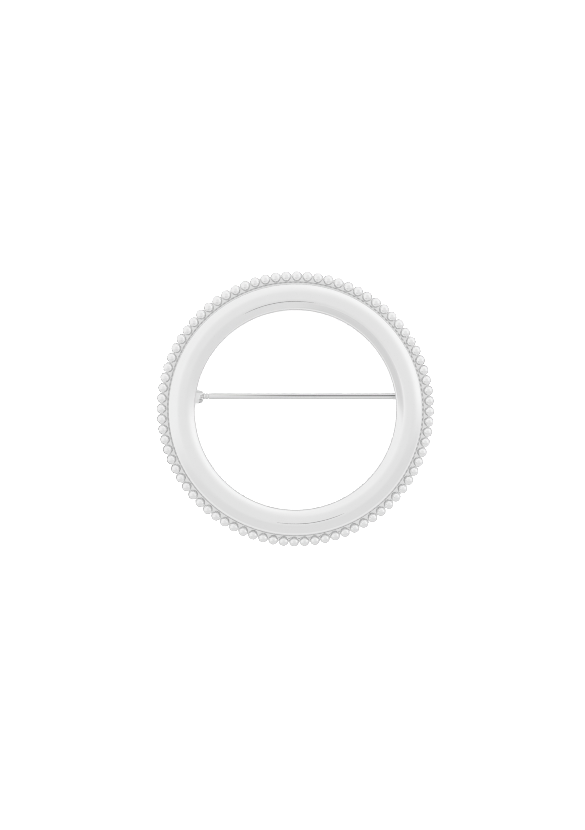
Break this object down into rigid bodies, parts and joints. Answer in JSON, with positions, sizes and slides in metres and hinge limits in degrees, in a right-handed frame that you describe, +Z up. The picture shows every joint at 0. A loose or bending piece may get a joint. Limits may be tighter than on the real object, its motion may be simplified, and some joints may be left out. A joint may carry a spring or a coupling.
{
  "type": "circle brooch",
  "caption": "Polished silver circle brooch: a smooth domed ring inside a border of small beads, with a hinged pin across the opening and an open hook that holds its point.",
  "frame": {"origin": "on the surface that the brooch lies on, below the middle of its bounding box", "axes": "+Z up from the surface, +X along the pin from its hinge to its point, +Y towards the top of the brooch"},
  "size_m": [0.04, 0.0396, 0.0074],
  "materials": {
    "polished_silver": "mirror-polished silver",
    "pin_wire": "polished drawn wire"
  },
  "bodies": {
    "brooch": {"beaded_ring": "polished_silver", "hinge_rivet": "pin_wire"},
    "pin": {"pin_stem": "pin_wire"}
  },
  "joints": [
    {"name": "pin_hinge", "type": "hinge", "parent": "brooch", "child": "pin", "pos_m": [-0.0142, 0.00198, 0.00084], "axis": [0, 0.9909, 0.1346], "range_deg": [0, 110]}
  ]
}
